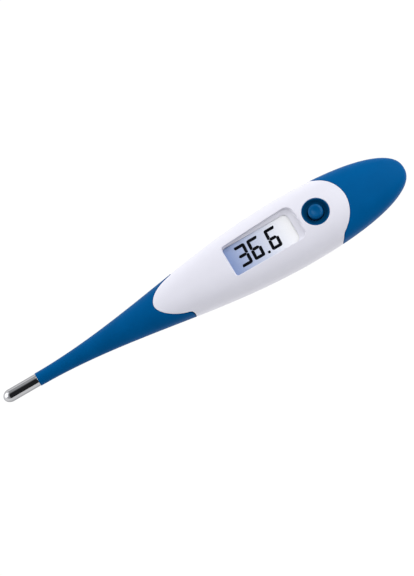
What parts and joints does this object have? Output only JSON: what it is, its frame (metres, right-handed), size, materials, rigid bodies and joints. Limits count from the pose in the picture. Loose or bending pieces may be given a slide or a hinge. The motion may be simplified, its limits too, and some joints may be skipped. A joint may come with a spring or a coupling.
{
  "type": "digital thermometer",
  "caption": "Clinical thermometer with a steel tip on a soft tapering stem, a flattened handle with a recessed display and a push button, and a pull-off battery cap.",
  "frame": {"origin": "under the middle of the thermometer, on the plane of the flat on its back", "axes": "+X along the thermometer from the steel tip to the battery cap, +Y across it, +Z out of the display"},
  "size_m": [0.1379, 0.0222, 0.0127],
  "materials": {
    "tip_steel": "polished stainless steel",
    "blue_soft": "satin soft-touch moulding",
    "button_soft": "satin soft-touch moulding",
    "white_body": "smooth semi-gloss moulding",
    "clear_window": "clear, polished",
    "display_foil": "display foil",
    "display_glass": "thin plate glass",
    "carrier_plastic": "matte moulding",
    "zebra_rubber": "layered connector rubber",
    "board": "solder-masked laminate",
    "black_resin": "potting resin",
    "epoxy": "cast resin",
    "chip_ceramic": "fired ceramic",
    "plated_steel": "nickel-plated",
    "brass_sheet": "spring sheet",
    "copper_wire": "enamelled copper wire",
    "seal_rubber": "seal rubber"
  },
  "bodies": {
    "handle": {"housing": "white_body", "flex_collar": "blue_soft", "sensor_lead_1": "copper_wire", "sensor_lead_2": "copper_wire", "display_window": "clear_window", "lcd_polarizer": "display_foil", "lcd_front_glass": "display_glass", "lcd_rear_glass": "display_glass", "lcd_reflector": "display_foil", "lcd_frame": "carrier_plastic", "zebra_strip": "zebra_rubber", "circuit_board": "board", "controller_blob": "black_resin", "quartz_crystal": "plated_steel", "chip_capacitor_1": "chip_ceramic", "chip_capacitor_2": "chip_ceramic", "chip_resistor": "black_resin", "switch_dome": "plated_steel", "button_ring": "button_soft", "buzzer_plate": "brass_sheet", "buzzer_ceramic": "chip_ceramic", "buzzer_lead_1": "copper_wire", "buzzer_lead_2": "copper_wire", "chassis": "carrier_plastic", "battery_cell": "plated_steel", "battery_contact_negative": "brass_sheet", "battery_contact_positive": "brass_sheet", "seal_ring": "seal_rubber"},
    "link_1": {"stem_link_1": "blue_soft"},
    "link_2": {"stem_link_2": "blue_soft"},
    "link_3": {"stem_link_3": "blue_soft"},
    "link_4": {"stem_link_4": "blue_soft"},
    "link_5": {"stem_link_5": "blue_soft"},
    "link_6": {"stem_link_6": "blue_soft"},
    "link_7": {"stem_link_7": "blue_soft"},
    "probe": {"stem_nose": "blue_soft", "probe_cap": "tip_steel", "thermistor_bead": "black_resin", "tip_potting": "epoxy"},
    "button": {"power_button": "button_soft"},
    "cap": {"end_cap": "blue_soft", "cap_liner": "white_body"}
  },
  "joints": [
    {"name": "stem_bend_1", "type": "hinge", "parent": "handle", "child": "link_1", "pos_m": [-0.025, 0, 0.00605], "axis": [0, 1, 0], "range_deg": [-8, 8], "stiffness_Nm_per_rad": 0.37, "deforming": ["sensor_lead_1", "sensor_lead_2"]},
    {"name": "stem_sway_1", "type": "hinge", "parent": "link_1", "child": "link_2", "pos_m": [-0.029, 0, 0.00605], "axis": [0, 0, 1], "range_deg": [-9, 9], "stiffness_Nm_per_rad": 0.3},
    {"name": "stem_bend_2", "type": "hinge", "parent": "link_2", "child": "link_3", "pos_m": [-0.033, 0, 0.00605], "axis": [0, 1, 0], "range_deg": [-11.3, 11.3], "stiffness_Nm_per_rad": 0.17},
    {"name": "stem_sway_2", "type": "hinge", "parent": "link_3", "child": "link_4", "pos_m": [-0.037, 0, 0.00605], "axis": [0, 0, 1], "range_deg": [-13, 13], "stiffness_Nm_per_rad": 0.12},
    {"name": "stem_bend_3", "type": "hinge", "parent": "link_4", "child": "link_5", "pos_m": [-0.041, 0, 0.00605], "axis": [0, 1, 0], "range_deg": [-15.3, 15.3], "stiffness_Nm_per_rad": 0.07},
    {"name": "stem_sway_3", "type": "hinge", "parent": "link_5", "child": "link_6", "pos_m": [-0.045, 0, 0.00605], "axis": [0, 0, 1], "range_deg": [-16, 16], "stiffness_Nm_per_rad": 0.05},
    {"name": "stem_bend_4", "type": "hinge", "parent": "link_6", "child": "link_7", "pos_m": [-0.049, 0, 0.00605], "axis": [0, 1, 0], "range_deg": [-17.7, 17.7], "stiffness_Nm_per_rad": 0.035},
    {"name": "stem_sway_4", "type": "hinge", "parent": "link_7", "child": "probe", "pos_m": [-0.053, 0, 0.00605], "axis": [0, 0, 1], "range_deg": [-18.1, 18.1], "stiffness_Nm_per_rad": 0.03},
    {"name": "button_press", "type": "slide", "parent": "handle", "child": "button", "axis": [0, 0, -1], "range_m": [0, 0.0005], "stiffness_N_per_m": 4000, "deforming": ["switch_dome"]},
    {"name": "cap_pull", "type": "slide", "parent": "handle", "child": "cap", "axis": [1, 0, 0], "range_m": [0, 0.03]}
  ],
  "couplings": [
    {"joint": "stem_bend_2", "follows": "stem_bend_1", "ratio": 1.4},
    {"joint": "stem_bend_3", "follows": "stem_bend_1", "ratio": 1.9},
    {"joint": "stem_bend_4", "follows": "stem_bend_1", "ratio": 2.2},
    {"joint": "stem_sway_2", "follows": "stem_sway_1", "ratio": 1.4},
    {"joint": "stem_sway_3", "follows": "stem_sway_1", "ratio": 1.75},
    {"joint": "stem_sway_4", "follows": "stem_sway_1", "ratio": 2}
  ]
}
